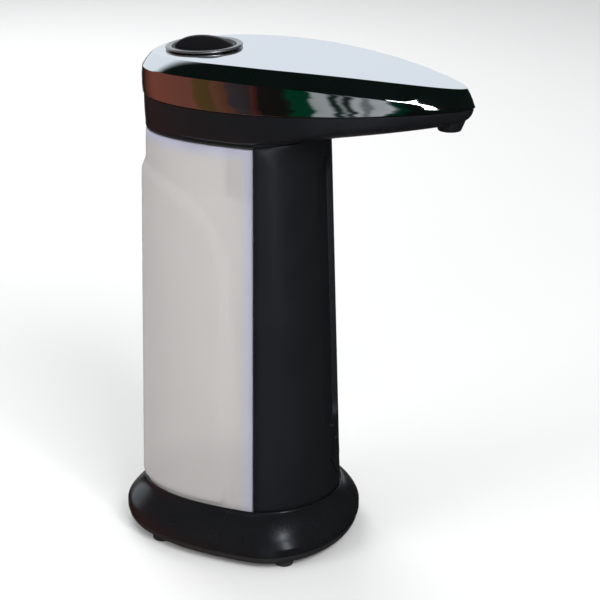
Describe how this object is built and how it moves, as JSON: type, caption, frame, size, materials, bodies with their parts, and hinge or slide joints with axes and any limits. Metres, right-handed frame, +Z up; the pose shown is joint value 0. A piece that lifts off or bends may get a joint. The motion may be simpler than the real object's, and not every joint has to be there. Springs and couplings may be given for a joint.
{
  "type": "hands-free soap dispenser",
  "caption": "Countertop hands-free soap dispenser: chrome-topped pointed head with twist filler cap, black column and flared base, frosted soap tank, gear pump and battery bay.",
  "frame": {"origin": "centre of the bounding box in plan, on the plane under the rubber feet", "axes": "+Z up, the nozzle points along -Y, +X to the right when the dispenser is seen from the front looking along +Y"},
  "size_m": [0.0826, 0.1392, 0.2015],
  "materials": {
    "chrome_plate": "bright chrome plating on moulded plastic",
    "satin_ring": "satin metal, turned",
    "black_shell": "semi-gloss black moulding",
    "black_moulding": "matt black moulding",
    "frosted_tank": "frosted translucent plastic",
    "sensor_lens": "dark infra-red window",
    "rubber": "black rubber",
    "silicone": "translucent silicone",
    "nylon": "natural nylon",
    "steel": "bright steel",
    "circuit_board": "green solder mask",
    "cell_jacket": "plain printed jacket, no marks",
    "wire_jacket": "insulated lead"
  },
  "bodies": {
    "dispenser": {"base_bottom_plate": "black_moulding", "base_shell": "black_shell", "battery_1": "cell_jacket", "battery_2": "cell_jacket", "battery_3": "cell_jacket", "battery_4": "cell_jacket", "battery_contact_front": "steel", "battery_contact_rear": "steel", "battery_tray": "black_moulding", "column_back_plate": "black_moulding", "column_screw_1": "steel", "column_screw_2": "steel", "column_shell": "black_shell", "control_board": "circuit_board", "delivery_tube": "silicone", "filler_neck": "black_moulding", "foot_1": "rubber", "foot_2": "rubber", "foot_3": "rubber", "foot_4": "rubber", "head_lower_shell": "black_shell", "head_top_cover": "chrome_plate", "inlet_strainer": "black_moulding", "motor_bracket": "steel", "motor_can": "steel", "nozzle": "black_moulding", "plate_screw_1": "steel", "plate_screw_2": "steel", "plate_screw_3": "steel", "plate_screw_4": "steel", "power_lead": "wire_jacket", "power_switch_body": "black_moulding", "pump_body": "black_moulding", "pump_cover": "black_moulding", "pump_screw_1": "steel", "pump_screw_2": "steel", "sensor_board": "circuit_board", "sensor_window": "sensor_lens", "suction_tube": "silicone", "tank": "frosted_tank", "tank_gasket": "rubber"},
    "cap_plug": {"cap_plug": "black_moulding", "cap_seal": "silicone"},
    "cap": {"cap_knob": "black_moulding", "cap_ring": "satin_ring"},
    "battery_door": {"battery_door": "black_moulding"},
    "switch_slider": {"power_switch_slider": "nylon"},
    "pump_drive": {"pump_drive_gear": "steel", "reduction_gear": "nylon"},
    "pump_idler": {"pump_idler_gear": "steel"},
    "motor_rotor": {"motor_pinion": "steel"}
  },
  "joints": [
    {"name": "cap_lift", "type": "slide", "parent": "dispenser", "child": "cap_plug", "axis": [0, 0.0436, 0.9991], "range_m": [0, 0.03]},
    {"name": "cap_turn", "type": "hinge", "parent": "cap_plug", "child": "cap", "pos_m": [0, 0.0367, 0.19696], "axis": [0, 0.0436, 0.9991], "range_deg": [0, 90]},
    {"name": "battery_door_hinge", "type": "hinge", "parent": "dispenser", "child": "battery_door", "pos_m": [0, 0.0475, 0.004], "axis": [1, 0, 0], "range_deg": [0, 90]},
    {"name": "power_switch_slide", "type": "slide", "parent": "dispenser", "child": "switch_slider", "axis": [1, 0, 0], "range_m": [0, 0.003]},
    {"name": "pump_drive_spin", "type": "hinge", "parent": "dispenser", "child": "pump_drive", "pos_m": [-0.0048, 0.01595, 0.165], "axis": [0, 0, 1], "continuous": true},
    {"name": "pump_idler_spin", "type": "hinge", "parent": "dispenser", "child": "pump_idler", "pos_m": [0.0048, 0.01595, 0.155], "axis": [0, 0, 1], "continuous": true},
    {"name": "motor_spin", "type": "hinge", "parent": "dispenser", "child": "motor_rotor", "pos_m": [-0.0148, 0.01595, 0.176], "axis": [0, 0, 1], "continuous": true}
  ],
  "couplings": [
    {"joint": "pump_idler_spin", "follows": "pump_drive_spin", "ratio": -1},
    {"joint": "motor_spin", "follows": "pump_drive_spin", "ratio": -3}
  ]
}
